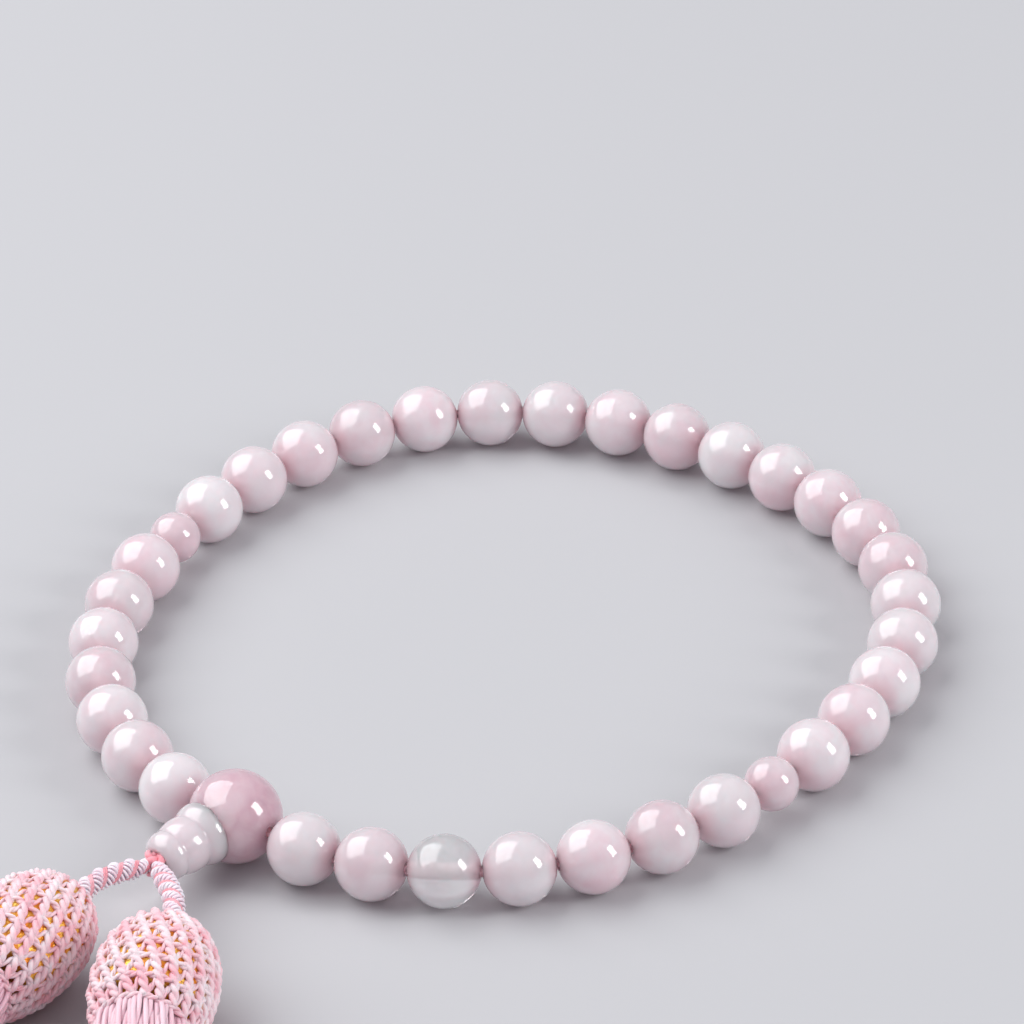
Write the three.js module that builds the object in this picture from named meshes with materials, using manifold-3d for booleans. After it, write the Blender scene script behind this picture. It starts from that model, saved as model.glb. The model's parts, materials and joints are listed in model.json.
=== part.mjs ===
// One-loop mala prayer beads in rose quartz, laid in a ring on a table, with two silk tassels.
// Millimetres, +Z up, the table at z = 0. The loop is counted anticlockwise from the parent bead.
import * as THREE from "three";
import { mergeVertices } from "three/addons/utils/BufferGeometryUtils.js";
import Module from "manifold-3d";

const { PI, sin, cos, asin, sqrt, max } = Math;
const { degToRad: rad, lerp } = THREE.MathUtils;
const UP = new THREE.Vector3(0, 0, 1);

// ---------------------------------------------------------------- driving dimensions
const MAIN_BEAD = 8; // diameters of the three sizes of bead
const SMALL_BEAD = 6;
const PARENT_BEAD = 10;
const MAIN_COUNTS = [7, 19, 7]; // main beads before, between and after the two small ones

const BEAD_BORE = 1.2; // diameter of the hole drilled through a bead
const PARENT_BORE = 2; // the parent bead's two holes meet inside it, so they are wider
const LOOP_STRING = 0.7; // diameter of the string
const BEAD_GAP = 0.1; // from one bead to the next
const PARENT_GAP = 0.7; // the string bends where it goes into the parent bead
const STRING_GAP = 0.3; // where two pieces of the string meet
const BEADS_PER_STRING = 3;
const STRAIGHT_SHARE = 0.8; // share of a bead's bore in which the string runs straight

const PARENT_BEARING = -130.3; // where the parent bead lies on the ring, in degrees
// How far the ring is from a circle: each wave adds height x cos(turns x bearing - phase).
const RING_WAVES = [
  { turns: 2, height: 0.82, phase: 153 },
  { turns: 3, height: 0.65, phase: -31 },
  { turns: 4, height: 0.83, phase: 15 },
];

const BOSA_BEARING = -135.4; // the ribbed piece points away from the ring, level with the table
const BOSA_SEAT_GAP = 0.25; // between its hollow end and the parent bead
const BOSA_BORE = 2.4;
const BOSA_RIM = 3.5; // radius of the hollow end
// The grooves between the ribs, and the mouth: distance from the parent bead's centre, and radius.
const BOSA_GROOVES = [
  { at: 6.1, radius: 3 },
  { at: 9.1, radius: 2.7 },
  { at: 11, radius: 2.2 },
];
const RIB_BULGE = 0.3;
const BOSA_LENGTH = 11.3; // from the parent bead's centre to the mouth
const MOUTH_ROUNDING = 0.4; // how much the last groove's radius shrinks at the mouth

const TIE_CORD = 1.6; // the doubled thread inside the bosa
const TIE_KNOT = 2.2; // the knot at its mouth, from which both tassels hang
const KNOT_SINK = 0.9; // how far the knot goes into the mouth
const TASSEL_CORD = 2.4;
const CORD_START = 3; // from the middle of the knot
const CORD_EASE = 0.4; // 0 bends a cord fully into line with its head, and 1 leaves it straight
const NECK_GAP = 0.7; // between a cord and the head it carries

const HEAD_REACH = 9.3; // from a head's middle back to its neck
const HEAD_RADIUS = 6.9;
const NET_THICKNESS = 0.9;
const CORE_GAP = 0.25; // from the net to the core under it
const CORE_START = -8.3; // the core's ends, from a head's middle
const CORE_END = 4;
// The head's outline: distance from its middle, towards the strands, and radius.
const HEAD_OUTLINE = [
  [-HEAD_REACH, 1.6],
  [-8.3, 3.2],
  [-6, 5.2],
  [-3, 6.5],
  [0, HEAD_RADIUS],
  [3.5, 6.75],
  [6.5, 6.05],
  [8.7, 5.2],
];
const RIM = 8.7; // from a head's middle to its open rim

const STRAND_LENGTH = 55; // beyond the rim
const STRAND_DOME = 3.8; // radius of the gathered strands inside the rim
const DOME_TURNS = [20, 50, 75]; // the dome's rings, in degrees from its top
// The bundle of strands: distance past the rim, half width, half height and height of its middle.
const STRAND_SECTIONS = [
  { past: 0.2, wide: STRAND_DOME, high: STRAND_DOME, middle: HEAD_RADIUS },
  { past: 3, wide: 5.2, high: 5, middle: 6.3 },
  { past: 8, wide: 5.8, high: 5, middle: 4.9 },
  { past: 16, wide: 6.2, high: 4.6, middle: 3.7 },
  { past: 28, wide: 6.6, high: 4.1, middle: 3.3 },
  { past: 42, wide: 7.2, high: 3.5, middle: 2.8 },
  { past: STRAND_LENGTH, wide: 7.8, high: 2.9, middle: 2.3 },
];

// Where each tassel lies: its head's middle, which way it points, and how far above
// the middle of the knot its cord begins.
const TASSELS = {
  right: { x: -37.5, y: -67.3, bearing: -98, rise: -0.6 },
  left: { x: -51.6, y: -58.5, bearing: -126, rise: 0.8 },
};

// ---------------------------------------------------------------- materials
const material = (color, roughness, extra) =>
  new THREE.MeshStandardMaterial({ color, roughness, metalness: 0, ...extra });

const rose_quartz = () => material(0xeed3d8, 0.12);
const mauve_quartz = () => material(0xd9a9b6, 0.12);
const pale_quartz = () => material(0xecdfe0, 0.2);
const pink_string = () => material(0xe9899b, 0.8);
const knotted_cord = () => material(0xf3cbd5, 0.75);
const knitted_net = () => material(0xf2a9b8, 0.7);
const gold_foil = () => material(0xd9a531, 0.3, { metalness: 1 });
const silk_strands = () => material(0xf0a3b4, 0.6);

// ---------------------------------------------------------------- geometry helpers
const wasm = await Module();
wasm.setup();

function toSolid(geometry) {
  const bare = new THREE.BufferGeometry();
  bare.setAttribute("position", geometry.toNonIndexed().getAttribute("position"));
  const merged = mergeVertices(bare, 1e-4);
  return new wasm.Manifold(
    new wasm.Mesh({
      numProp: 3,
      vertProperties: merged.attributes.position.array,
      triVerts: new Uint32Array(merged.index.array),
    }),
  );
}

function toGeometry(solid) {
  const mesh = solid.getMesh();
  const geometry = new THREE.BufferGeometry();
  geometry.setAttribute("position", new THREE.BufferAttribute(mesh.vertProperties, 3));
  geometry.setIndex(new THREE.BufferAttribute(mesh.triVerts, 1));
  geometry.computeVertexNormals();
  return geometry;
}

function piece(name, geometry, look) {
  const mesh = new THREE.Mesh(geometry, look);
  mesh.name = name;
  return mesh;
}

// Turns a shape made about the Y axis to lie along a direction, with one of its edges straight down.
function along(geometry, origin, direction) {
  const side = new THREE.Vector3().crossVectors(direction, UP).normalize();
  const top = new THREE.Vector3().crossVectors(side, direction);
  const placed = new THREE.Matrix4().makeBasis(side, direction, top).setPosition(origin);
  return geometry.applyMatrix4(placed);
}

// A turned shape from [distance along the axis, radius] points.
function turned(outline, segments) {
  const profile = outline.map(([at, radius]) => new THREE.Vector2(radius, at));
  return new THREE.LatheGeometry(profile, segments);
}

// A round tube of straight pieces along a smooth curve through some points.
function tube(points, diameter, sides, steps) {
  const section = new THREE.Shape();
  for (let i = 0; i < sides; i++) {
    const turn = (2 * PI * i) / sides;
    const corner = [(diameter / 2) * cos(turn), (diameter / 2) * sin(turn)];
    if (i === 0) section.moveTo(...corner);
    else section.lineTo(...corner);
  }
  section.closePath();
  const extrudePath = new THREE.CatmullRomCurve3(points, false, "centripetal");
  return new THREE.ExtrudeGeometry(section, { steps, extrudePath });
}

// A closed skin over a row of rings that all have the same number of points.
function skin(rings) {
  const count = rings[0].length;
  const middle = (ring) => ring.reduce((sum, p) => sum.add(p), new THREE.Vector3()).divideScalar(count);
  const corners = [...rings.flat(), middle(rings[0]), middle(rings.at(-1))];
  const first = rings.length * count;
  const faces = [];
  for (let i = 0; i < count; i++) {
    const next = (i + 1) % count;
    for (let r = 0; r + 1 < rings.length; r++) {
      const [a, b, c, d] = [r * count + i, r * count + next, (r + 1) * count + i, (r + 1) * count + next];
      faces.push(a, c, b, b, c, d);
    }
    faces.push(first, i, next);
    faces.push(first + 1, first - count + next, first - count + i);
  }
  const geometry = new THREE.BufferGeometry().setFromPoints(corners);
  geometry.setIndex(faces);
  geometry.computeVertexNormals();
  return geometry;
}

// ---------------------------------------------------------------- the ring of beads
// The beads in order round the loop, each with its diameter.
function beadOrder() {
  const beads = [{ name: "parent_bead", diameter: PARENT_BEAD }];
  let main = 0;
  MAIN_COUNTS.forEach((count, group) => {
    if (group > 0) beads.push({ name: `small_bead_${group}`, diameter: SMALL_BEAD });
    for (let i = 0; i < count; i++) {
      main += 1;
      beads.push({ name: `main_bead_${String(main).padStart(2, "0")}`, diameter: MAIN_BEAD });
    }
  });
  return beads;
}

// Main and parent beads rest on the table. The string carries the small beads level with the main ones.
const centreHeight = (bead) => (bead.diameter === PARENT_BEAD ? PARENT_BEAD : MAIN_BEAD) / 2;

function onRing(bearing, size, height) {
  let radius = size;
  for (const wave of RING_WAVES) radius += wave.height * cos(wave.turns * bearing - rad(wave.phase));
  return new THREE.Vector3(radius * cos(bearing), radius * sin(bearing), height);
}

// The distance between the centres of two neighbours.
function pitch(one, other) {
  const gap = [one, other].some((bead) => bead.diameter === PARENT_BEAD) ? PARENT_GAP : BEAD_GAP;
  return (one.diameter + other.diameter) / 2 + gap;
}

// Halves an interval fifty times, round the place where a rising function passes 0.
function rootOf(f, low, high) {
  for (let i = 0; i < 50; i++) {
    const middle = (low + high) / 2;
    if (f(middle) < 0) low = middle;
    else high = middle;
  }
  return (low + high) / 2;
}

// Steps round a ring of a given size, and says how far past a full turn the last bead meets the first.
function layBeads(beads, size) {
  let bearing = rad(PARENT_BEARING);
  beads.forEach((bead, i) => {
    const next = beads[(i + 1) % beads.length];
    bead.centre = onRing(bearing, size, centreHeight(bead));
    const reach = (turn) =>
      onRing(bearing + turn, size, centreHeight(next)).distanceTo(bead.centre) - pitch(bead, next);
    bearing += rootOf(reach, 0, PI / 6); // two neighbours are never a twelfth of a turn apart
  });
  return bearing - rad(PARENT_BEARING) - 2 * PI;
}

function closedRing() {
  const beads = beadOrder();
  const around = beads.reduce((sum, bead, i) => sum + pitch(bead, beads[(i + 1) % beads.length]), 0);
  const size = rootOf((s) => -layBeads(beads, s), around / 8, around / 5); // a circle's is around / 2 pi
  layBeads(beads, size);
  beads.forEach((bead, i) => {
    const before = beads[(i + beads.length - 1) % beads.length].centre;
    const after = beads[(i + 1) % beads.length].centre;
    bead.direction = after.clone().sub(before).normalize();
  });
  return beads;
}

const RING = closedRing();
const PARENT = RING[0];

// ---------------------------------------------------------------- the beads
// A ball with a hole through it, in rings from one mouth of the hole to the other and back.
function drilledBall(diameter, bore, rings, segments) {
  const radius = diameter / 2;
  const mouth = asin(bore / diameter);
  const outline = [];
  for (let i = 0; i <= rings; i++) {
    const turn = lerp(mouth, PI - mouth, i / rings);
    outline.push([-radius * cos(turn), radius * sin(turn)]);
  }
  outline.push(outline[0]);
  return turned(outline, segments);
}

function beadPiece(bead) {
  const ball = drilledBall(bead.diameter, BEAD_BORE, 6, 12);
  return piece(bead.name, along(ball, bead.centre, bead.direction), rose_quartz());
}

// The bosa's axis, out from the middle of the parent bead.
const BOSA_AXIS = new THREE.Vector3(cos(rad(BOSA_BEARING)), sin(rad(BOSA_BEARING)), 0);
const alongBosa = (distance) => PARENT.centre.clone().addScaledVector(BOSA_AXIS, distance);

// The parent bead has a third hole, from its middle out to the bosa.
function parentBead() {
  const ball = along(drilledBall(PARENT_BEAD, PARENT_BORE, 8, 12), PARENT.centre, PARENT.direction);
  const drill = along(
    turned([[0, 0], [0, BOSA_BORE / 2], [PARENT_BEAD, BOSA_BORE / 2], [PARENT_BEAD, 0]], 12),
    PARENT.centre,
    BOSA_AXIS,
  );
  return piece("parent_bead", toGeometry(toSolid(ball).subtract(toSolid(drill))), mauve_quartz());
}

// ---------------------------------------------------------------- the loop string
// The string runs straight through each bead, and bends between beads. It is made in pieces of three
// beads, because the loop is hinged between them.
function stringPiece(name, beads, before, after) {
  const inside = (bead, side) =>
    bead.centre.clone().addScaledVector(bead.direction, (side * STRAIGHT_SHARE * bead.diameter) / 2);
  const halfway = (one, other) =>
    one.centre
      .clone()
      .addScaledVector(one.direction, one.diameter / 2)
      .add(other.centre)
      .addScaledVector(other.direction, -other.diameter / 2)
      .divideScalar(2);
  const first = beads[0];
  const last = beads.at(-1);
  const points = [
    halfway(before, first).addScaledVector(first.direction, STRING_GAP / 2),
    ...beads.flatMap((bead) => [inside(bead, -1), inside(bead, 1)]),
    halfway(last, after).addScaledVector(last.direction, -STRING_GAP / 2),
  ];
  return piece(name, tube(points, LOOP_STRING, 6, 3 * beads.length + 2), pink_string());
}

function loopString() {
  const count = RING.length;
  const pieces = [];
  for (let k = 0; k * BEADS_PER_STRING < count; k++) {
    const start = k * BEADS_PER_STRING - 1;
    const at = (i) => RING[(start + i + count) % count];
    const name = `loop_string_${String(k).padStart(2, "0")}`;
    pieces.push(stringPiece(name, [at(0), at(1), at(2)], at(-1), at(BEADS_PER_STRING)));
  }
  return pieces;
}

// ---------------------------------------------------------------- the bosa
// A rib swells between two grooves.
function rib(from, to, steps) {
  const points = [];
  for (let i = 1; i <= steps; i++) {
    const t = i / steps;
    points.push([lerp(from.at, to.at, t), lerp(from.radius, to.radius, t) + RIB_BULGE * sin(PI * t)]);
  }
  return points;
}

function bosa() {
  const seat = PARENT_BEAD / 2 + BOSA_SEAT_GAP;
  const bore = BOSA_BORE / 2;
  const onSeat = (radius) => [sqrt(seat * seat - radius * radius), radius];
  const rim = { at: onSeat(BOSA_RIM)[0], radius: BOSA_RIM };
  const outline = [onSeat(bore), onSeat((bore + BOSA_RIM) / 2), onSeat(BOSA_RIM)];
  [rim, ...BOSA_GROOVES].slice(0, -1).forEach((groove, i) => {
    outline.push(...rib(groove, BOSA_GROOVES[i], 4));
  });
  outline.push([BOSA_LENGTH, BOSA_GROOVES.at(-1).radius - MOUTH_ROUNDING], [BOSA_LENGTH, bore]);
  outline.push(outline[0]);
  return piece("bosa", along(turned(outline, 16), PARENT.centre, BOSA_AXIS), pale_quartz());
}

// ---------------------------------------------------------------- cords and tassels
const KNOT_AT = BOSA_LENGTH + TIE_KNOT / 2 - KNOT_SINK; // along the bosa's axis
const KNOT = alongBosa(KNOT_AT);

// The doubled thread that ties the tassels to the loop, with its knot.
function tieCord() {
  const thread = TIE_CORD / 2;
  const knot = TIE_KNOT / 2;
  const begin = PARENT_BORE / 2 + STRING_GAP;
  const outline = [[begin, 0], [begin, thread]];
  const start = asin(thread / knot);
  for (let i = 0; i <= 4; i++) {
    const turn = lerp(start, PI, i / 4);
    outline.push([KNOT_AT - knot * cos(turn), i === 4 ? 0 : knot * sin(turn)]);
  }
  return piece("tie_cord", along(turned(outline, 10), PARENT.centre, BOSA_AXIS), knotted_cord());
}

// The way a tassel points, along the table.
const pointing = (tassel) => new THREE.Vector3(cos(rad(tassel.bearing)), sin(rad(tassel.bearing)), 0);

const headMiddle = (tassel) => new THREE.Vector3(tassel.x, tassel.y, HEAD_RADIUS);

// Where a cord begins beside the knot, and where it ends in front of the head's neck.
function cordEnds(tassel) {
  const neck = headMiddle(tassel).addScaledVector(pointing(tassel), -HEAD_REACH - NECK_GAP);
  const away = neck.clone().sub(KNOT).setZ(0).normalize();
  const start = KNOT.clone().addScaledVector(away, sqrt(CORD_START ** 2 - tassel.rise ** 2));
  start.z += tassel.rise;
  return { start, neck };
}

// A stiff cord rises from the knot and runs straight into the head.
function tasselCord(side, tassel) {
  const { start, neck } = cordEnds(tassel);
  const inLine = neck.clone().addScaledVector(pointing(tassel), -start.distanceTo(neck) / 3);
  const direct = start.clone().lerp(neck, 2 / 3);
  const points = [start, inLine.lerp(direct, CORD_EASE), neck];
  return piece(`tassel_cord_${side}`, tube(points, TASSEL_CORD, 10, 6), knotted_cord());
}

// The head's outline moved inwards, between two distances along its axis.
function headOutline(inset, from, to) {
  const inside = HEAD_OUTLINE.filter(([at]) => at > from && at < to);
  const radiusAt = (at) => {
    const i = max(1, HEAD_OUTLINE.findIndex(([end]) => end >= at));
    const [[a, ra], [b, rb]] = [HEAD_OUTLINE[i - 1], HEAD_OUTLINE[i]];
    return lerp(ra, rb, (at - a) / (b - a));
  };
  return [from, ...inside.map(([at]) => at), to].map((at) => [at, radiusAt(at) - inset]);
}

function headNet(side, tassel) {
  const outer = headOutline(0, -HEAD_REACH, RIM);
  const inner = headOutline(NET_THICKNESS, -HEAD_REACH, RIM);
  const outline = [...outer, ...inner.reverse(), outer[0]];
  return piece(
    `head_net_${side}`,
    along(turned(outline, 16), headMiddle(tassel), pointing(tassel)),
    knitted_net(),
  );
}

function headCore(side, tassel) {
  const body = headOutline(NET_THICKNESS + CORE_GAP, CORE_START, CORE_END);
  const outline = [[body[0][0], 0], ...body, [body.at(-1)[0], 0]];
  return piece(
    `head_core_${side}`,
    along(turned(outline, 12), headMiddle(tassel), pointing(tassel)),
    gold_foil(),
  );
}

// The gathered strands swell from a dome inside the rim and lie flat on the table.
function strands(side, tassel) {
  const forward = pointing(tassel);
  const across = new THREE.Vector3().crossVectors(forward, UP);
  const ring = ({ past, wide, high, middle }) => {
    const points = [];
    for (let i = 0; i < 16; i++) {
      const turn = (2 * PI * i) / 16 - PI / 2;
      const point = headMiddle(tassel).addScaledVector(forward, RIM + past);
      point.addScaledVector(across, wide * cos(turn)).setZ(max(0, middle + high * sin(turn)));
      points.push(point);
    }
    return points;
  };
  const dome = DOME_TURNS.map((turn) => ({
    past: STRAND_SECTIONS[0].past - STRAND_DOME * cos(rad(turn)),
    wide: STRAND_DOME * sin(rad(turn)),
    high: STRAND_DOME * sin(rad(turn)),
    middle: HEAD_RADIUS,
  }));
  const rings = [...dome, ...STRAND_SECTIONS].map(ring);
  return piece(`tassel_strands_${side}`, skin(rings), silk_strands());
}

// ---------------------------------------------------------------- assembly
const group = new THREE.Group();
group.add(parentBead(), ...RING.slice(1).map(beadPiece), ...loopString(), bosa(), tieCord());
for (const [side, tassel] of Object.entries(TASSELS)) {
  group.add(tasselCord(side, tassel), headNet(side, tassel), headCore(side, tassel), strands(side, tassel));
}

// The part's origin is the middle of its footprint, on the table.
const box = new THREE.Box3().setFromObject(group);
const origin = box.getCenter(new THREE.Vector3()).setZ(box.min.z);
group.position.copy(origin.negate());

export default group;
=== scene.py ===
"""Rose quartz mala prayer beads with two silk tassels, laid in a ring on a pale table."""
import json
import math
import random
from collections import namedtuple

import bpy
import numpy as np
from mathutils import Matrix, Vector


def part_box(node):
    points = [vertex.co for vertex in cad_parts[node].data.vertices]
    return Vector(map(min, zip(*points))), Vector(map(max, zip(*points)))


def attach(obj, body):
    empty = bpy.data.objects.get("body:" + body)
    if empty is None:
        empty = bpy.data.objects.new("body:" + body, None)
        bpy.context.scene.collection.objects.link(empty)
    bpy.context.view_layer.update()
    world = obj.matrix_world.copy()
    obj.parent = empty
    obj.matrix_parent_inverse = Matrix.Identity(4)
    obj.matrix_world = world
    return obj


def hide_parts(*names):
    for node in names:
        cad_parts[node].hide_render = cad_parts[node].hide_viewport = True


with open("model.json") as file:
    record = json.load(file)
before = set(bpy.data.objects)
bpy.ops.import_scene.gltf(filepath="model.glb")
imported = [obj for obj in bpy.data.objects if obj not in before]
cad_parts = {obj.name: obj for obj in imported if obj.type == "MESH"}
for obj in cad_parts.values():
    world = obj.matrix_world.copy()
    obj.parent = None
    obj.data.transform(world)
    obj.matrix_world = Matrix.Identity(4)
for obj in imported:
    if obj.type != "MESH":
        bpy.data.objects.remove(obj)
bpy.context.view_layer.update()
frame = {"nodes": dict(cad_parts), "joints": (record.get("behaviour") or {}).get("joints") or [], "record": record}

MM = 0.001
UP = Vector((0, 0, 1))
JOINTS = {joint["name"]: joint for joint in frame["joints"]}


# ---------------------------------------------------------------- where things are
Bead = namedtuple("Bead", "name centre radius along")


def ring_of_beads():
    """The beads in order round the ring, anticlockwise from the parent bead."""
    names = [name for name in frame["nodes"] if "_bead" in name]
    boxes = {name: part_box(name) for name in names}
    centres = {name: (low + high) / 2 for name, (low, high) in boxes.items()}
    middle = sum(centres.values(), Vector()) / len(names)

    def bearing(name):
        out = centres[name] - middle
        return math.atan2(out.y, out.x)

    start = bearing("parent_bead")
    names.sort(key=lambda name: (bearing(name) - start) % math.tau)
    beads = []
    for i, name in enumerate(names):
        before = centres[names[i - 1]]
        after = centres[names[(i + 1) % len(names)]]
        low, high = boxes[name]
        radius = (high.z - low.z) / 2
        beads.append(Bead(name, centres[name], radius, (after - before).normalized()))
    return beads


BEADS = ring_of_beads()
PARENT = BEADS[0]
RING_MIDDLE = sum((bead.centre for bead in BEADS), Vector()) / len(BEADS)

BODY_OF = {node: body for body, nodes in frame["record"]["behaviour"]["bodies"].items() for node in nodes}


def joint_at(name):
    return Vector(JOINTS[name]["pos_m"])


# ---------------------------------------------------------------- camera
LENS = 181.3  # mm, on a 36 mm sensor
CAMERA_DISTANCE = 621.5 * MM
CAMERA_ELEVATION = math.radians(32)
CAMERA_ROLL = math.radians(-3.57)
AIM = Vector((2.1, 30.8)) * MM  # from the ring's middle to the middle of the picture, on the table


def add_camera():
    data = bpy.data.cameras.new("camera")
    data.lens = LENS
    data.sensor_width = 36
    camera = bpy.data.objects.new("camera", data)
    bpy.context.scene.collection.objects.link(camera)
    bpy.context.scene.camera = camera
    target = Vector((RING_MIDDLE.x + AIM.x, RING_MIDDLE.y + AIM.y, 0))
    forward = Vector((0, math.cos(CAMERA_ELEVATION), -math.sin(CAMERA_ELEVATION)))
    level = Vector((1, 0, 0))
    upright = level.cross(forward)
    right = math.cos(CAMERA_ROLL) * level + math.sin(CAMERA_ROLL) * upright
    up = right.cross(forward)
    turn = Matrix((right, up, -forward)).transposed()
    camera.matrix_world = Matrix.Translation(target - CAMERA_DISTANCE * forward) @ turn.to_4x4()


# ---------------------------------------------------------------- shapes
# A shape is (vertices as an n x 3 array, faces as lists of vertex numbers).
def joined(shapes):
    vertices, faces, count = [], [], 0
    for points, sides in shapes:
        vertices.append(points)
        faces.extend([corner + count for corner in side] for side in sides)
        count += len(points)
    return np.concatenate(vertices), faces


def grid_faces(rows, columns, closed_rows):
    """Faces over rows of points. Each row closes on itself, and so do the rows if asked."""
    faces = []
    for r in range(rows if closed_rows else rows - 1):
        for c in range(columns):
            d = (c + 1) % columns
            s = (r + 1) % rows
            faces.append([r * columns + c, r * columns + d, s * columns + d, s * columns + c])
    return faces


def path_frames(path):
    """At each point of a path: the way ahead, and two sideways vectors that turn as little as they can."""
    ahead = np.gradient(path, axis=0)
    ahead /= np.linalg.norm(ahead, axis=1)[:, None]
    side = np.cross(ahead[0], (0, 0, 1))
    if np.linalg.norm(side) < 0.1:
        side = np.cross(ahead[0], (1, 0, 0))
    sides = []
    for way in ahead:
        side = side - way * (side @ way)
        side /= np.linalg.norm(side)
        sides.append(side)
    sides = np.array(sides)
    return ahead, sides, np.cross(sides, ahead)


def travelled(path):
    """How far along the path each of its points is."""
    steps = np.linalg.norm(np.diff(path, axis=0), axis=1)
    return np.concatenate([[0], np.cumsum(steps)])


def evenly(path, spacing):
    """The same path with points at an even spacing."""
    far = travelled(path)
    count = max(3, round(far[-1] / spacing) + 1)
    at = np.linspace(0, far[-1], count)
    return np.stack([np.interp(at, far, path[:, k]) for k in range(3)], axis=1)


CURVE_STEPS = 16  # between two of the points that a curve goes through


def curve_through(points, spacing):
    """A smooth path through some points (a Catmull-Rom spline), at an even spacing."""
    points = [Vector(p) for p in points]
    ends = [2 * points[0] - points[1], *points, 2 * points[-1] - points[-2]]
    path = []
    for a, b, c, d in zip(ends, ends[1:], ends[2:], ends[3:]):
        slope = c - a
        bow = 2 * a - 5 * b + 4 * c - d
        twist = 3 * b - a - 3 * c + d
        for i in range(CURVE_STEPS):
            t = i / CURVE_STEPS
            path.append(0.5 * (2 * b + slope * t + bow * t**2 + twist * t**3))
    path.append(points[-1])
    return evenly(np.array(path), spacing)


def wound(path, radius, pitch, phase):
    """A path wound round another one, once in each pitch of its length."""
    _, side, up = path_frames(path)
    turn = (phase + math.tau * travelled(path) / pitch)[:, None]
    return path + radius * (np.cos(turn) * side + np.sin(turn) * up)


def tube(path, radius, sides):
    """A round tube along a path with closed ends. The radius may change along it.

    The faces point inwards, because the sideways vectors turn the other way about the path.
    """
    _, side, up = path_frames(path)
    turn = math.tau * np.arange(sides)[None, :, None] / sides
    ring = np.cos(turn) * side[:, None, :] + np.sin(turn) * up[:, None, :]
    radii = np.broadcast_to(radius, len(path))[:, None, None]
    points = (path[:, None, :] + radii * ring).reshape(-1, 3)
    faces = grid_faces(len(path), sides, closed_rows=False)
    faces.append(list(range(sides))[::-1])
    faces.append(list(range(len(points) - sides, len(points))))
    return points, faces


PLY_SWELL = 1.12  # the plies press together, with no gaps between them


def plied(path, radius, plies, pitch, sides=5, phase=0.0):
    """A thread of some plies twisted together. Radius is the whole thread's."""
    ply = radius / (1 + 1 / math.sin(math.pi / plies))
    phases = [phase + math.tau * k / plies for k in range(plies)]
    return joined([tube(wound(path, radius - ply, pitch, p), ply * PLY_SWELL, sides) for p in phases])


def turned(profile, segments, origin, axis):
    """A closed profile of (distance along the axis, radius) points, turned about an axis."""
    axis = Vector(axis).normalized()
    side = axis.orthogonal().normalized()
    up = axis.cross(side)
    turn = math.tau * np.arange(segments)[None, :, None] / segments
    ring = np.cos(turn) * np.array(side) + np.sin(turn) * np.array(up)
    at = np.array([p[0] for p in profile])[:, None, None] * np.array(axis)
    radii = np.array([p[1] for p in profile])[:, None, None]
    points = (np.array(origin) + at + radii * ring).reshape(-1, 3)
    return points, grid_faces(len(profile), segments, closed_rows=True)


def add_piece(name, shape, material, node):
    """A mesh that rides on a CAD node's body and stands for that node."""
    points, faces = shape
    mesh = bpy.data.meshes.new(name)
    mesh.from_pydata(points.tolist(), [], faces)
    mesh.polygons.foreach_set("use_smooth", [True] * len(faces))
    mesh.materials.append(material)
    mesh.update()
    obj = bpy.data.objects.new(name, mesh)
    bpy.context.scene.collection.objects.link(obj)
    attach(obj, BODY_OF[node])
    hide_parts(node)
    return obj


# ---------------------------------------------------------------- materials
def new_material(name):
    """A material with its node tree and its Principled shader."""
    material = bpy.data.materials.new(name)
    material.use_nodes = True
    return material, material.node_tree, material.node_tree.nodes["Principled BSDF"]


def noise(tree, scale, detail, distortion, seed):
    """Noise in the object's own coordinates. The scale is in features to a metre."""
    place = tree.nodes.new("ShaderNodeTexCoord")
    texture = tree.nodes.new("ShaderNodeTexNoise")
    texture.noise_dimensions = "4D"
    texture.inputs["Scale"].default_value = scale
    texture.inputs["Detail"].default_value = detail
    texture.inputs["Distortion"].default_value = distortion
    texture.inputs["W"].default_value = seed
    tree.links.new(place.outputs["Object"], texture.inputs["Vector"])
    return texture.outputs["Fac"]


def ramp(tree, value, stops):
    """Colours by value, from (position, colour) stops."""
    node = tree.nodes.new("ShaderNodeValToRGB")
    while len(node.color_ramp.elements) < len(stops):
        node.color_ramp.elements.new(0.5)
    for element, (position, colour) in zip(node.color_ramp.elements, stops):
        element.position = position
        element.color = (*colour, 1)
    tree.links.new(value, node.inputs["Fac"])
    return node.outputs["Color"]


def bumps(tree, shader, height, distance):
    """A bumpy surface. The distance is how high it stands where the height is 1."""
    node = tree.nodes.new("ShaderNodeBump")
    node.inputs["Distance"].default_value = distance
    tree.links.new(height, node.inputs["Height"])
    tree.links.new(node.outputs["Normal"], shader.inputs["Normal"])


CLEAR = (0.97, 0.93, 0.95)
MILK = (0.965, 0.86, 0.89)
BLUSH = (0.945, 0.775, 0.82)
ROSE = (0.92, 0.66, 0.72)
MAUVE = (0.74, 0.49, 0.57)
# The painted glow: the string's pink painted into the stone's colour round each drill hole's mouths, where the
# beads meet.
PAINTED_STRING_GLOW = (0.96, 0.62, 0.67)
PAINTED_GLOW_START = 0.62  # where the painted glow starts: a share of the bead's radius, from its middle
PAINTED_GLOW_SHARE = 0.75
QUARTZ_IOR = 1.54
POLISH = 0.5
POLISH_IOR = 1.6
GLOW_DEPTH = 4 * MM  # how far light spreads inside the stone
VEIL_SHARE = 0.3  # of the fine veils against the broad clouds


def mixed(one, other, share):
    """A colour some share of the way from one to the other."""
    return [a + (b - a) * share for a, b in zip(one, other)]


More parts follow.
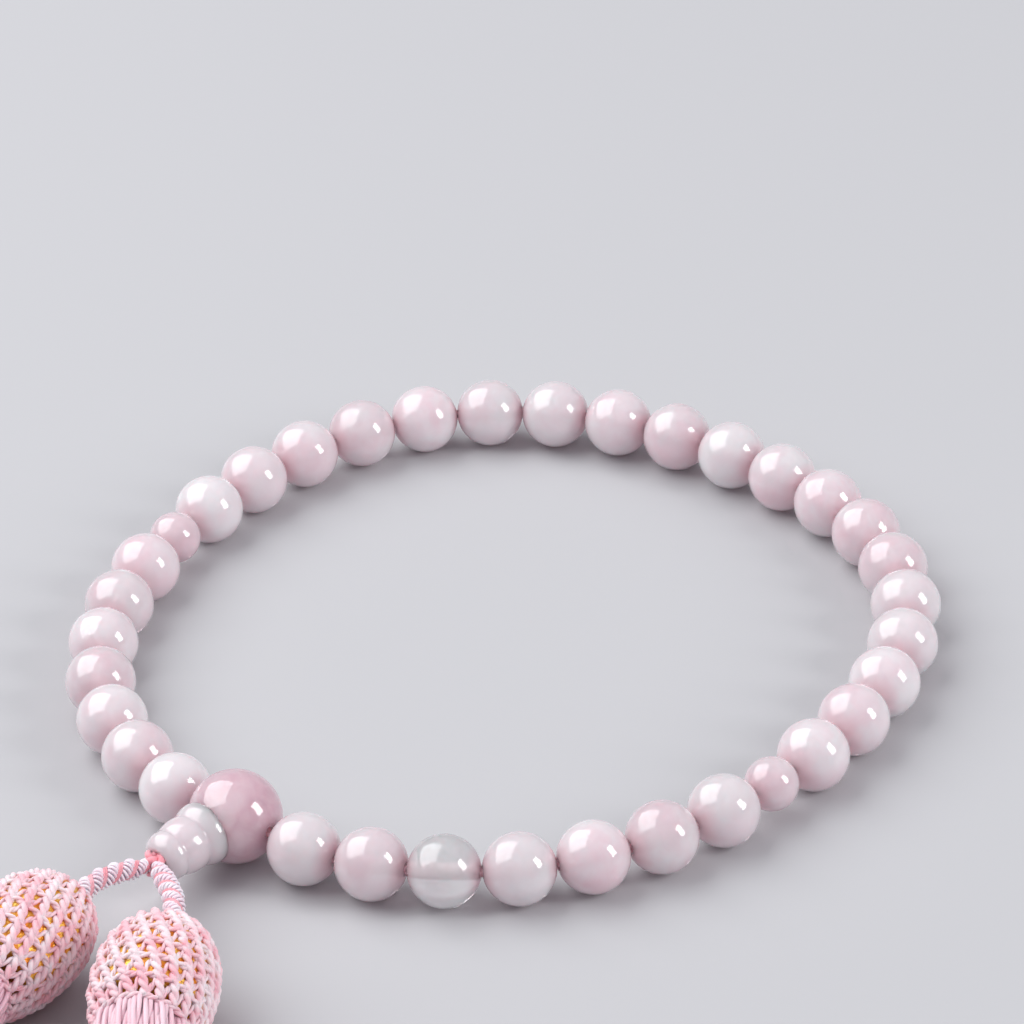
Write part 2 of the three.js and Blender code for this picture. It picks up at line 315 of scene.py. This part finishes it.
def painted_mouth_glow(tree, colour, bead):
    """Painted glow: the string's pink painted into the stone's colour round the two mouths of a bead's drill hole.
    """
    place = tree.nodes.new("ShaderNodeTexCoord")
    from_middle = tree.nodes.new("ShaderNodeVectorMath")
    from_middle.operation = "SUBTRACT"
    from_middle.inputs[1].default_value = bead.centre
    tree.links.new(place.outputs["Object"], from_middle.inputs[0])
    along = tree.nodes.new("ShaderNodeVectorMath")
    along.operation = "DOT_PRODUCT"
    along.inputs[1].default_value = bead.along
    tree.links.new(from_middle.outputs["Vector"], along.inputs[0])
    either_way = tree.nodes.new("ShaderNodeMath")
    either_way.operation = "ABSOLUTE"
    tree.links.new(along.outputs["Value"], either_way.inputs[0])
    glow = tree.nodes.new("ShaderNodeMapRange")
    glow.interpolation_type = "SMOOTHSTEP"
    glow.inputs["From Min"].default_value = bead.radius * PAINTED_GLOW_START
    glow.inputs["From Max"].default_value = bead.radius
    glow.inputs["To Max"].default_value = PAINTED_GLOW_SHARE
    tree.links.new(either_way.outputs["Value"], glow.inputs["Value"])
    blend = tree.nodes.new("ShaderNodeMix")
    blend.data_type = "RGBA"
    blend.inputs["B"].default_value = (*PAINTED_STRING_GLOW, 1)
    tree.links.new(glow.outputs["Result"], blend.inputs["Factor"])
    tree.links.new(colour, blend.inputs["A"])
    return blend.outputs["Result"]


def quartz(name, seed, pale, deep, clearness, roughness=0.06, bead=None):
    """Polished quartz: broad soft clouds with finer veils in them, and glassy where it is clear."""
    material, tree, shader = new_material(name)
    clouds = noise(tree, scale=130, detail=2, distortion=0.6, seed=seed)
    veils = noise(tree, scale=420, detail=4, distortion=1.2, seed=seed + 0.5)
    both = tree.nodes.new("ShaderNodeMix")
    both.inputs["Factor"].default_value = VEIL_SHARE
    tree.links.new(clouds, both.inputs["A"])
    tree.links.new(veils, both.inputs["B"])
    stops = [(0.36, deep), (0.5, mixed(deep, pale, 0.5)), (0.64, pale)]
    colour = ramp(tree, both.outputs["Result"], stops)
    # painted glow of the string, round the mouths of the drill hole
    if bead:
        colour = painted_mouth_glow(tree, colour, bead)
    tree.links.new(colour, shader.inputs["Base Color"])
    shader.inputs["Roughness"].default_value = roughness
    shader.inputs["IOR"].default_value = QUARTZ_IOR
    shader.inputs["Transmission Weight"].default_value = clearness
    shader.inputs["Coat Weight"].default_value = POLISH
    shader.inputs["Coat IOR"].default_value = POLISH_IOR
    shader.inputs["Coat Roughness"].default_value = roughness / 2
    shader.inputs["Subsurface Weight"].default_value = 1
    shader.inputs["Subsurface Radius"].default_value = (1, 0.8, 0.82)
    shader.inputs["Subsurface Scale"].default_value = GLOW_DEPTH
    return material


def drilled_wall():
    """The ground wall of a drill hole: whitish, with the string's pink painted into its colour as if seen through
    it.
    """
    material, _, shader = new_material("drilled_wall")
    # whitish wall colour with a painted pink tint for the string seen through it
    shader.inputs["Base Color"].default_value = (0.98, 0.84, 0.87, 1)
    shader.inputs["Roughness"].default_value = 0.55
    shader.inputs["IOR"].default_value = QUARTZ_IOR
    shader.inputs["Transmission Weight"].default_value = 0.15
    return material


def thread(name, seed, light, dark, patches=450, sheen=0.35):
    """Silk thread: paler and deeper patches (so many to a metre), a soft sheen and fine fibres."""
    material, tree, shader = new_material(name)
    stretches = noise(tree, scale=patches, detail=2, distortion=0.4, seed=seed)
    tree.links.new(ramp(tree, stretches, [(0.36, dark), (0.64, light)]), shader.inputs["Base Color"])
    shader.inputs["Roughness"].default_value = 0.42
    shader.inputs["Sheen Weight"].default_value = sheen
    shader.inputs["Sheen Roughness"].default_value = 0.35
    shader.inputs["Subsurface Weight"].default_value = 0.25
    shader.inputs["Subsurface Radius"].default_value = (1, 0.5, 0.5)
    shader.inputs["Subsurface Scale"].default_value = 0.4 * MM
    fibres = noise(tree, scale=9000, detail=2, distortion=0, seed=seed)
    bumps(tree, shader, fibres, distance=0.05 * MM)
    return material


# The foil's own orange, and the yellow of the glints painted on it.
FOIL_ORANGE = (0.86, 0.30, 0.03)
PAINTED_GLINT_YELLOW = (1.0, 0.68, 0.13)


def foil(name):
    """Crumpled gold foil: orange, with yellow glints painted into its colour."""
    material, tree, shader = new_material(name)
    # painted glints: yellow patches painted over the orange, placed by noise
    painted_glints = noise(tree, scale=900, detail=3, distortion=0.8, seed=5)
    colours = ramp(tree, painted_glints, [(0.4, FOIL_ORANGE), (0.62, PAINTED_GLINT_YELLOW)])
    tree.links.new(colours, shader.inputs["Base Color"])
    shader.inputs["Metallic"].default_value = 0.5
    shader.inputs["Roughness"].default_value = 0.28
    crumples = noise(tree, scale=1500, detail=2, distortion=1.5, seed=9)
    bumps(tree, shader, crumples, distance=0.3 * MM)
    return material


# ---------------------------------------------------------------- beads
BORE = 1.2 * MM
CHAMFER = 0.12 * MM  # the polished edge of a drill hole
BEAD_GROWTH = 1.015  # the beads touch, where the CAD leaves them room to turn
PARENT_GROWTH = 1.045
PARENT_SHIFT = 0.4 * MM  # towards the first bead, which it touches
BALL_RINGS = 40
WALL_RINGS = 8
BEAD_SIDES = 64


def bead_profile(radius, bore):
    """A ball with a hole through it, its mouths rounded over."""
    hole = bore / 2
    mouth = math.asin((hole + CHAMFER) / radius)
    points = []
    for i in range(BALL_RINGS + 1):
        turn = mouth + (math.pi - 2 * mouth) * i / BALL_RINGS
        points.append((-radius * math.cos(turn), radius * math.sin(turn)))
    lip = radius * math.cos(mouth) - CHAMFER
    for i in range(WALL_RINGS + 1):
        points.append((lip * (1 - 2 * i / WALL_RINGS), hole))
    return points


# By place in the ring: the clearness of some beads, and which beads are nearly white.
CLEAR_BEADS = {2: 0.35, 3: 0.68, 5: 0.25, 6: 0.4, 8: 0.35, 28: 0.35}
SMALL_RADIUS = 3.5 * MM  # the small beads are below this
CLEARNESS = (0.22, 0.38)  # least and most, of the other beads
GLASSY = 0.5  # a bead clearer than this has hardly any colour
WHITE_WARMTH = (0, 0.25)  # from blush towards rose, least and most
PINK_WARMTH = (0.3, 0.9)
WHITE_BEADS = (1, 4, 7, 12, 13, 22, 27, 31, 35)


def bead_look(place, bead, dice):
    """A bead's own quartz, and a name for its kind of quartz."""
    seed = 10 * place + dice.random()
    clearness = CLEAR_BEADS.get(place, dice.uniform(*CLEARNESS))
    warmth = dice.uniform(*(WHITE_WARMTH if place in WHITE_BEADS else PINK_WARMTH))
    if bead is PARENT:
        return quartz("mauve_quartz", seed, mixed(ROSE, BLUSH, 0.9), MAUVE, 0.3), "mauve_quartz"
    pale, deep = MILK, mixed(BLUSH, ROSE, warmth)
    if clearness > GLASSY:
        pale, deep = CLEAR, MILK
    elif bead.radius < SMALL_RADIUS:
        pale, deep = BLUSH, ROSE
    return quartz(f"rose_quartz_{place:02d}", seed, pale, deep, clearness, bead=bead), "rose_quartz"


def add_beads():
    dice = random.Random(7)
    wall = drilled_wall()
    wall_faces = range(BALL_RINGS * BEAD_SIDES, (BALL_RINGS + 1 + WALL_RINGS) * BEAD_SIDES)
    for place, bead in enumerate(BEADS):
        look, slot = bead_look(place, bead, dice)
        growth, centre = BEAD_GROWTH, bead.centre
        if bead is PARENT:
            growth, centre = PARENT_GROWTH, centre + bead.along * PARENT_SHIFT
        shape = turned(bead_profile(bead.radius * growth, BORE), BEAD_SIDES, centre, bead.along)
        stone = add_piece(f"{bead.name}_stone", shape, look, bead.name)
        stone.data.materials.append(wall)
        for face in wall_faces:
            stone.data.polygons[face].material_index = 1


# ---------------------------------------------------------------- loop string
STRING = 1.1 * MM
STRING_PLIES = 3
STRING_TWIST = 3.2 * MM
STRING_STEP = 0.25 * MM


def add_loop_string():
    """The string in the same pieces as the CAD's, each running straight through its beads."""
    look = thread("pink_string", 3, (0.95, 0.66, 0.72), (0.93, 0.54, 0.61))
    count = len(BEADS)
    halves = [bead.along * bead.radius for bead in BEADS]
    ends = [(bead.centre - half, bead.centre + half) for bead, half in zip(BEADS, halves)]
    pieces = sorted(name for name in frame["nodes"] if name.startswith("loop_string"))
    held = count // len(pieces)
    for k, name in enumerate(pieces):
        first = k * held - 1
        points = [(ends[(first - 1) % count][1] + ends[first % count][0]) / 2]
        for i in range(first, first + held):
            points += ends[i % count]
        points.append((ends[(first + held - 1) % count][1] + ends[(first + held) % count][0]) / 2)
        path = evenly(np.array(points), STRING_STEP)
        shape = plied(path, STRING / 2, STRING_PLIES, STRING_TWIST, sides=6)
        add_piece(f"{name}_thread", shape, look, name)


# ---------------------------------------------------------------- bosa
BOSA_AXIS = Vector(JOINTS["spin_bosa"]["axis"])
BOSA_SEAT = 5.25 * MM  # from the parent bead's centre to the hollow end
BOSA_BORE = 2.4 * MM
BOSA_RIM = 3.5 * MM
# The grooves and the mouth: distance from the parent bead's centre, and radius.
BOSA_GROOVES = [(6.1, 3), (9.1, 2.7), (11, 2.2)]
RIB_BULGE = 0.28 * MM
RIB_FULLNESS = 0.75  # below 1, a rib is rounder at its sides
RIB_STEPS = 12
SEAT_STEPS = 6
BOSA_LENGTH = 11.3 * MM
MOUTH_ROUNDING = 0.4 * MM


def add_bosa():
    """The ribbed stone tube, hollow at the end that sits on the parent bead."""
    hole = BOSA_BORE / 2

    def seat(radius):
        return (math.sqrt(BOSA_SEAT**2 - radius**2), radius)

    profile = [seat(hole + (BOSA_RIM - hole) * i / SEAT_STEPS) for i in range(SEAT_STEPS + 1)]
    grooves = [seat(BOSA_RIM), *[(at * MM, radius * MM) for at, radius in BOSA_GROOVES]]
    for (from_at, from_radius), (to_at, to_radius) in zip(grooves, grooves[1:]):
        for i in range(1, RIB_STEPS + 1):
            t = i / RIB_STEPS
            swell = RIB_BULGE * math.sin(math.pi * t) ** RIB_FULLNESS
            at = from_at + (to_at - from_at) * t
            profile.append((at, from_radius + (to_radius - from_radius) * t + swell))
    last = BOSA_GROOVES[-1][1] * MM
    profile.append((BOSA_LENGTH - MOUTH_ROUNDING / 4, last - MOUTH_ROUNDING / 2))
    profile.append((BOSA_LENGTH, last - MOUTH_ROUNDING))
    profile.append((BOSA_LENGTH, hole))
    look = quartz("pale_quartz", 77, BLUSH, mixed(BLUSH, ROSE, 0.7), clearness=0.2, roughness=0.14)
    shape = turned(profile, BEAD_SIDES, PARENT.centre, BOSA_AXIS)
    add_piece("bosa_stone", shape, look, "bosa")


# ---------------------------------------------------------------- knot and cords
KNOT = joint_at("swing_cord_right")
KNOT_RADIUS = 1.25 * MM
KNOT_THREAD = 0.84 * MM
KNOT_ROUNDS = 3  # times round the knot's middle
KNOT_LOBES = 4  # times in and out
KNOT_WAVE = 0.38  # how far in and out, as a share of the knot's radius
KNOT_HEIGHT = 0.72  # of its radius
KNOT_STEPS = 180
TIE_START = 1.2 * MM  # from the parent bead's middle
TIE_THREAD = 0.8 * MM
TIE_TWIST = 6 * MM
TIE_STEP = 0.3 * MM
TIE_SIDES = 8
CORD_LAY = 4.2 * MM  # one turn of a cord's two wrapped strands about each other
CORE_WIND = 0.56 * MM  # from the cord's middle to a strand's middle
CORE_RADIUS = 0.54 * MM  # from a strand's middle to its wrapping
WRAP_THREAD = 0.34 * MM
WRAP_PITCH = 0.38 * MM
EDGE_THREAD = 0.34 * MM  # the doubled coral threads in the grooves between the strands
EDGE_WIND = 0.86 * MM
EDGE_SHIFT = 0.18  # radians, to each side of the groove
CORD_START = 0.6 * MM  # from the knot's middle
CORD_END = 0.8 * MM  # into the head, past its neck
CORD_STEP = 0.1 * MM
BEND_PLACE = 0.36  # of the way back from the neck to the knot
BEND_DIRECTNESS = 0.4  # 0 runs in line with the tassel at the neck, 1 straight to the knot
WRAP_STEPS = 14  # in each turn of the wrapping
WRAP_SIDES = 6
CORD_THIN = 0.55  # of its full thickness, at the knot
THIN_LENGTH = 3.2 * MM


def coral_thread():
    return thread("coral_thread", 11, (0.93, 0.46, 0.52), (0.88, 0.31, 0.37))


def white_thread():
    return thread("white_thread", 12, (0.95, 0.88, 0.95), (0.92, 0.74, 0.83))


def add_tie_cord(coral):
    """Two threads through the bosa, and the knot they end in."""
    start = PARENT.centre + BOSA_AXIS * TIE_START
    middle = evenly(np.array([start, KNOT]), TIE_STEP)
    threads = []
    for phase in (0, math.pi):
        threads.append(tube(wound(middle, TIE_THREAD / 2, TIE_TWIST, phase), TIE_THREAD / 2, TIE_SIDES))
    # The knot is one thread going round as a closed (3, 4) torus knot pulled tight.
    turn = np.linspace(0, math.tau, KNOT_STEPS + 1)
    around = KNOT_ROUNDS * turn
    out = KNOT_RADIUS * (1 - KNOT_WAVE + KNOT_WAVE * np.cos(KNOT_LOBES * turn))
    height = KNOT_RADIUS * KNOT_HEIGHT * np.sin(KNOT_LOBES * turn)
    loops = np.array(KNOT) + np.stack([out * np.cos(around), out * np.sin(around), height], axis=1)
    threads.append(tube(loops, KNOT_THREAD / 2, TIE_SIDES))
    add_piece("tie_cord_thread", joined(threads), coral, "tie_cord")


def neck_of(side):
    return joint_at(f"swing_head_{side}")


def rim_of(side):
    return joint_at(f"swing_strands_{side}")


def pointing(side):
    """The way a tassel points, along the table."""
    return (rim_of(side) - neck_of(side)).normalized()


def thickening(path):
    """How thick a cord is along a path, as a share: pulled thin where it leaves the knot."""
    return np.clip(CORD_THIN + (1 - CORD_THIN) * travelled(path) / THIN_LENGTH, 0, 1)[:, None]


def add_cord(side, white, coral):
    """Two strands wrapped in white thread and laid into a cord, with coral threads in its grooves."""
    node = f"tassel_cord_{side}"
    neck = neck_of(side)
    away = (neck - KNOT).normalized()
    reach = (neck - KNOT).length
    in_line = neck - pointing(side) * reach * BEND_PLACE
    direct = KNOT + away * reach * (1 - BEND_PLACE)
    bend = in_line.lerp(direct, BEND_DIRECTNESS)
    path = curve_through([KNOT + away * CORD_START, bend, neck + pointing(side) * CORD_END], CORD_STEP)
    strands = []
    grooves = []
    for phase in (0, math.pi):
        strand = wound(path, CORE_WIND * thickening(path), CORD_LAY, phase)
        fine = evenly(strand, WRAP_PITCH / WRAP_STEPS)
        wrapping = wound(fine, CORE_RADIUS * thickening(fine), WRAP_PITCH, phase=0)
        strands.append(tube(wrapping, WRAP_THREAD / 2, WRAP_SIDES))
        for shift in (-EDGE_SHIFT, EDGE_SHIFT):
            groove = wound(path, EDGE_WIND * thickening(path), CORD_LAY, phase + math.pi / 2 + shift)
            grooves.append(tube(groove, EDGE_THREAD / 2, WRAP_SIDES))
    add_piece(f"{node}_wrap", joined(strands), white, node)
    add_piece(f"{node}_edge", joined(grooves), coral, node)


# ---------------------------------------------------------------- tassel heads
# The head's outline: distance from its middle, towards the strands, and radius.
HEAD_OUTLINE = [
    (-9.3, 1.3),
    (-8.6, 2.4),
    (-7.6, 4),
    (-6, 5.3),
    (-3, 6.55),
    (0, 6.9),
    (3.5, 6.75),
    (6.5, 6.05),
    (8.7, 5.2),
]
RIM = 8.7 * MM
NET_COLUMNS = 20
NET_ROWS = 7
NET_FIRST = -8.9 * MM  # the first and the last row, from the head's middle
NET_LAST = 8.3 * MM
NET_DEPTH = 0.5 * MM  # from the head's outline to the middle of the net's stitches
STITCH_PLY = 0.32 * MM  # the radius of each of a stitch's two threads
STITCH_WIND = 0.25 * MM
STITCH_TWIST = 2.3 * MM
STITCH_SIDES = 7
STITCH_STEPS = 9  # from one row to the next
ROW_STEPS = 180  # round the head
FIRST_ROW = 2  # nearer the neck there are only slanting stitches
CROWDED_RADIUS = 5.6 * MM  # where the head is thinner than this, so are the stitches
LEAST_STITCH = 0.35
BACK_SHARE = 0.62  # the size of the stitches that cross at the back
BACK_DEPTH = NET_DEPTH + 0.15 * MM
ROW_SHARE = 0.7  # the size of the rows' stitches
CORE_DEPTH = 0.68 * MM  # from the head's outline to the foil
CORE_FROM = -8.4  # mm from the head's middle
CORE_TO = 6
CORE_POINTS = 30
CORE_SIDES = 48
CLOSE_TO_AXIS = 0.01 * MM


def head_radius(at):
    """The head's radius at a distance from its middle."""
    places = [p[0] * MM for p in HEAD_OUTLINE]
    return np.interp(at, places, [p[1] * MM for p in HEAD_OUTLINE])


def on_head(side, at, turn, inset):
    """Points on the head's surface, moved inwards."""
    forward = np.array(pointing(side))
    across = np.cross(forward, (0, 0, 1))
    middle = np.array(rim_of(side)) - RIM * forward
    radius = (head_radius(at) - inset)[:, None]
    around = np.cos(turn)[:, None] * across + np.sin(turn)[:, None] * np.array((0, 0, 1))
    return middle + at[:, None] * forward + radius * around


def stitches(path, size, phase):
    """Two threads twisted together along a path. The size is a share of a full stitch, at each point."""
    threads = []
    for start in (phase, phase + math.pi):
        middle = wound(path, STITCH_WIND * size[:, None], STITCH_TWIST, start)
        threads.append(tube(middle, STITCH_PLY * size, STITCH_SIDES))
    return threads


def add_net(side, look):
    """A knitted net: slanting front stitches, thinner ones crossing behind, and a row at each crossing."""
    share = np.linspace(0, NET_ROWS, STITCH_STEPS * NET_ROWS + 1)
    at = NET_FIRST + (NET_LAST - NET_FIRST) * share / NET_ROWS
    crowding = np.clip(head_radius(at) / CROWDED_RADIUS, LEAST_STITCH, 1)
    shapes = []
    for hand, share_of_size, depth in ((1, 1.0, NET_DEPTH), (-1, BACK_SHARE, BACK_DEPTH)):
        for column in range(NET_COLUMNS):
            turn = math.tau * (column + hand * share / 2) / NET_COLUMNS
            path = on_head(side, at, turn, depth)
            shapes += stitches(path, crowding * share_of_size, column)
    for row in range(FIRST_ROW, NET_ROWS + 1):
        turn = np.linspace(0, math.tau, ROW_STEPS + 1)
        middle = np.full_like(turn, NET_FIRST + (NET_LAST - NET_FIRST) * row / NET_ROWS)
        shapes += stitches(on_head(side, middle, turn, NET_DEPTH), np.full_like(turn, ROW_SHARE), row)
    add_piece(f"head_net_{side}_threads", joined(shapes), look, f"head_net_{side}")


def add_core(side, look):
    """The foil-covered core under the net."""
    along = np.linspace(CORE_FROM, CORE_TO, CORE_POINTS)
    profile = [(at * MM, float(head_radius(at * MM)) - CORE_DEPTH) for at in along]
    profile = [(profile[0][0], CLOSE_TO_AXIS), *profile, (profile[-1][0], CLOSE_TO_AXIS)]
    middle = rim_of(side) - RIM * pointing(side)
    shape = turned(profile, CORE_SIDES, middle, pointing(side))
    add_piece(f"head_core_{side}_foil", shape, look, f"head_core_{side}")


# ---------------------------------------------------------------- silk strands
STRANDS = 110
STRAND = 1.2 * MM
STRAND_PLIES = 3
STRAND_TWIST = 13 * MM
# The bundle: distance past the rim, half width, half height and height of its middle, in mm.
STRAND_SECTIONS = [
    (-1.3, 3.2, 3.2, 6.9),
    (-0.7, 4.2, 4.2, 6.9),
    (-0.1, 4.75, 4.75, 6.9),
    (0.8, 5, 4.9, 6.75),
    (3, 5.2, 5, 6.3),
    (8, 5.8, 5, 4.9),
    (16, 6.2, 4.6, 3.7),
    (28, 6.6, 4.1, 3.3),
    (42, 7.2, 3.5, 2.8),
    (55, 7.8, 2.9, 2.3),
]
STRAND_LENGTH = STRAND_SECTIONS[-1][0]
STRAND_STEP = 0.55 * MM
SWAY = 0.5  # mm to either side, at the strands' ends
CUT = (0.96, 1.01)  # shortest and longest, as shares of the length
GOLDEN_ANGLE = math.pi * (3 - math.sqrt(5))


def add_strands(side, look):
    """Loose silk strands, packed evenly over the bundle's width and height."""
    dice = random.Random(f"strands {side}")
    forward = pointing(side)
    across = forward.cross(UP)
    rim = rim_of(side)
    shapes = []
    for i in range(STRANDS):
        out = math.sqrt((i + 0.5) / STRANDS)
        turn = i * GOLDEN_ANGLE
        cut = dice.uniform(*CUT)
        sway = dice.uniform(-SWAY, SWAY)
        points = []
        for past, wide, high, middle in STRAND_SECTIONS:
            past_mm = past * cut if past > 0 else past
            stray = sway * max(0, past) / STRAND_LENGTH
            sideways = (wide * out * math.cos(turn) + stray) * MM
            height = max(STRAND / 2, (middle + high * out * math.sin(turn)) * MM)
            point = rim + forward * past_mm * MM + across * sideways
            points.append((point.x, point.y, height))
        path = curve_through(points, STRAND_STEP)
        shapes.append(plied(path, STRAND / 2, STRAND_PLIES, STRAND_TWIST, phase=dice.uniform(0, math.tau)))
    add_piece(f"tassel_strands_{side}_silk", joined(shapes), look, f"tassel_strands_{side}")


def add_tassels():
    white, coral = white_thread(), coral_thread()
    net = thread("net_thread", 21, (0.96, 0.80, 0.84), (0.93, 0.50, 0.57))
    silk = thread("silk_thread", 31, (0.95, 0.66, 0.74), (0.94, 0.54, 0.64), patches=120, sheen=0.5)
    gold = foil("gold_foil")
    add_tie_cord(coral)
    for side in ("right", "left"):
        add_cord(side, white, coral)
        add_net(side, net)
        add_core(side, gold)
        add_strands(side, silk)


# ---------------------------------------------------------------- table and light
TABLE_GREY = (0.50, 0.50, 0.52)
TABLE_HALF = 2.0  # metres
LIGHT_DISTANCE = 0.9  # metres
KEY_WAY = (-0.59, 0.23, 0.77)
SIDE_WAY = (0.83, -0.30, 0.47)
SKY = (0.93, 0.94, 1, 1)
SKY_STRENGTH = 0.45


def add_table():
    mesh = bpy.data.meshes.new("table")
    half = TABLE_HALF
    corners = [(-half, -half, 0), (half, -half, 0), (half, half, 0), (-half, half, 0)]
    mesh.from_pydata(corners, [], [(0, 1, 2, 3)])
    material, _, shader = new_material("table")
    shader.inputs["Base Color"].default_value = (*TABLE_GREY, 1)
    shader.inputs["Roughness"].default_value = 0.7
    mesh.materials.append(material)
    table = bpy.data.objects.new("table", mesh)
    bpy.context.scene.collection.objects.link(table)


def add_softbox(name, towards, width, height, power):
    """An area light that faces the ring's middle."""
    data = bpy.data.lights.new(name, "AREA")
    data.shape = "RECTANGLE"
    data.size = width
    data.size_y = height
    data.energy = power
    light = bpy.data.objects.new(name, data)
    bpy.context.scene.collection.objects.link(light)
    way = Vector(towards).normalized()
    light.location = RING_MIDDLE + way * LIGHT_DISTANCE
    light.rotation_mode = "QUATERNION"
    light.rotation_quaternion = way.to_track_quat("Z", "Y")


def add_light():
    add_softbox("key_light", KEY_WAY, width=1.1, height=0.9, power=9.5)
    add_softbox("side_light", SIDE_WAY, width=0.28, height=0.45, power=4)
    world = bpy.data.worlds.new("studio")
    world.use_nodes = True
    world.node_tree.nodes["Background"].inputs["Color"].default_value = SKY
    world.node_tree.nodes["Background"].inputs["Strength"].default_value = SKY_STRENGTH
    bpy.context.scene.world = world
    bpy.context.scene.view_settings.view_transform = "Standard"


# ---------------------------------------------------------------- the scene
add_camera()
add_loop_string()
add_beads()
add_bosa()
add_tassels()
add_table()
add_light()
